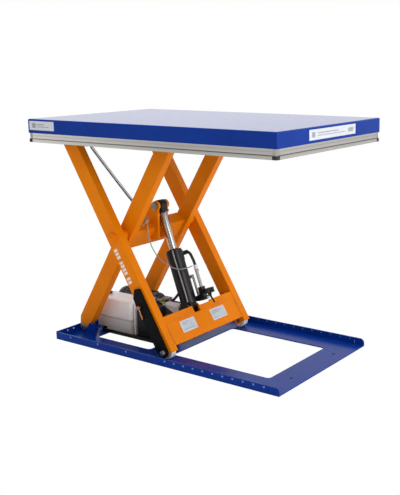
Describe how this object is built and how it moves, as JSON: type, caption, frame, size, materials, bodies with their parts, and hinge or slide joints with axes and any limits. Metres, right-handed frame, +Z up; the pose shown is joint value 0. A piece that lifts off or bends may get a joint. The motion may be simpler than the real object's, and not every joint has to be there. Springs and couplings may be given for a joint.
{
  "type": "scissor lift table",
  "caption": "Hydraulic scissor lift table with a flat deck, safety frame, crossed arms on rollers, a tilted cylinder and a power unit in the base.",
  "frame": {"origin": "floor level, centred under the platform", "axes": "+X along the platform towards the roller end, +Y across to the left side, +Z up"},
  "size_m": [1.3, 0.8, 1.01],
  "materials": {
    "blue_paint": "gloss",
    "orange_paint": "semi-gloss",
    "aluminium": "satin",
    "black_cap": "moulded",
    "zinc": "zinc plated",
    "chrome": "polished",
    "black_paint": "semi-gloss",
    "roller_white": "turned",
    "tank_plastic": "translucent",
    "hose_rubber": "smooth",
    "clear_tube": "translucent",
    "label": "printed film",
    "cable_grey": "extruded",
    "box_grey": "moulded",
    "motor_grey": "satin",
    "valve_metal": "semi-gloss",
    "white_plate": "satin",
    "steel": "machined"
  },
  "bodies": {
    "base": {"base_frame": "blue_paint", "lower_pivot_pin_right": "zinc", "lower_pivot_pin_left": "zinc", "power_unit_tray": "black_paint", "oil_tank": "tank_plastic", "filler_cap": "black_cap", "mounting_plate": "white_plate", "control_box": "black_cap", "electric_motor": "motor_grey", "motor_fan_cover": "motor_grey", "pump_block": "steel", "terminal_box": "box_grey", "pressure_hose": "hose_rubber"},
    "inner_arms": {"inner_arm_right": "orange_paint", "inner_arm_left": "orange_paint", "inner_crossbeam": "orange_paint", "rod_pin_heads": "zinc", "mid_pivot_pin_right": "orange_paint", "mid_pivot_pin_left": "orange_paint", "upper_axles": "zinc", "cable_clip": "black_cap", "hose_end_fitting": "zinc", "signal_cable": "cable_grey"},
    "outer_arms": {"outer_arm_right": "orange_paint", "outer_arm_left": "orange_paint", "outer_crossbeam": "orange_paint", "foot_pin": "zinc", "info_plates": "label", "lower_axle_right": "zinc", "lower_axle_left": "zinc", "cord_bracket": "black_cap", "curly_cord": "cable_grey"},
    "platform": {"platform_deck": "blue_paint", "deck_ribs": "blue_paint", "roller_rails": "blue_paint", "top_bracket_right": "blue_paint", "top_bracket_left": "blue_paint", "top_pivot_pins": "zinc", "rim_labels": "label", "frame_hangers": "zinc"},
    "safety_frame": {"safety_rail_right": "aluminium", "safety_rail_left": "aluminium", "safety_rail_rear": "aluminium", "safety_rail_front": "aluminium", "corner_caps": "black_cap"},
    "lower_roller_right": {"lower_roller_right": "roller_white"},
    "lower_roller_left": {"lower_roller_left": "roller_white"},
    "upper_roller_right": {"upper_roller_right": "roller_white"},
    "upper_roller_left": {"upper_roller_left": "roller_white"},
    "cylinder_barrel": {"cylinder_tube": "black_paint", "gland_nut": "black_paint", "valve_block": "valve_metal", "elbow_hose": "hose_rubber", "return_tubes": "clear_tube"},
    "cylinder_rod": {"piston_rod": "chrome", "rod_eye": "black_paint"},
    "valve_lever": {"valve_lever": "black_paint"},
    "maintenance_prop": {"maintenance_prop": "black_paint"},
    "prop_knob": {"prop_knob": "black_cap"}
  },
  "joints": [
    {"name": "lift", "type": "hinge", "parent": "base", "child": "inner_arms", "pos_m": [-0.5613, 0, 0.0363], "axis": [0, 1, 0], "range_deg": [0, 52.77], "deforming": ["pressure_hose"]},
    {"name": "scissor_pivot", "type": "hinge", "parent": "inner_arms", "child": "outer_arms", "pos_m": [-0.27799, 0, 0.503], "axis": [0, 1, 0], "range_deg": [-105.6, 0], "deforming": ["curly_cord", "signal_cable"]},
    {"name": "top_pivot", "type": "hinge", "parent": "outer_arms", "child": "platform", "pos_m": [-0.5613, 0, 0.9697], "axis": [0, 1, 0], "range_deg": [0, 52.8]},
    {"name": "trip_frame", "type": "slide", "parent": "platform", "child": "safety_frame", "axis": [0, 0, 1], "range_m": [0, 0.008]},
    {"name": "lower_roller_right_spin", "type": "hinge", "parent": "outer_arms", "child": "lower_roller_right", "pos_m": [0.00532, -0.265, 0.0363], "axis": [0, 1, 0], "continuous": true},
    {"name": "lower_roller_left_spin", "type": "hinge", "parent": "outer_arms", "child": "lower_roller_left", "pos_m": [0.00532, 0.265, 0.0363], "axis": [0, 1, 0], "continuous": true},
    {"name": "upper_roller_right_spin", "type": "hinge", "parent": "inner_arms", "child": "upper_roller_right", "pos_m": [0.00532, -0.194, 0.9697], "axis": [0, 1, 0], "continuous": true},
    {"name": "upper_roller_left_spin", "type": "hinge", "parent": "inner_arms", "child": "upper_roller_left", "pos_m": [0.00532, 0.194, 0.9697], "axis": [0, 1, 0], "continuous": true},
    {"name": "cylinder_foot", "type": "hinge", "parent": "outer_arms", "child": "cylinder_barrel", "pos_m": [-0.08465, 0, 0.14308], "axis": [0, 1, 0], "range_deg": [0, 1.36]},
    {"name": "rod_stroke", "type": "slide", "parent": "cylinder_barrel", "child": "cylinder_rod", "axis": [-0.3348, 0, 0.9423], "range_m": [-0.1725, 0]},
    {"name": "lowering_lever", "type": "hinge", "parent": "cylinder_barrel", "child": "valve_lever", "pos_m": [-0.01256, 0.052, 0.20902], "axis": [0, 1, 0], "range_deg": [0, 16]},
    {"name": "prop_swing", "type": "hinge", "parent": "outer_arms", "child": "maintenance_prop", "pos_m": [0.00532, -0.292, 0.0363], "axis": [0, 1, 0], "range_deg": [0, 14]},
    {"name": "knob_pull", "type": "slide", "parent": "maintenance_prop", "child": "prop_knob", "axis": [0, -1, 0], "range_m": [0, 0.006], "stiffness_N_per_m": 400}
  ],
  "couplings": [
    {"joint": "scissor_pivot", "follows": "lift", "ratio": -2},
    {"joint": "top_pivot", "follows": "lift", "ratio": 1},
    {"joint": "cylinder_foot", "follows": "lift", "ratio": 0.02535},
    {"joint": "rod_stroke", "follows": "lift", "m_per_rad": -0.18687}
  ]
}
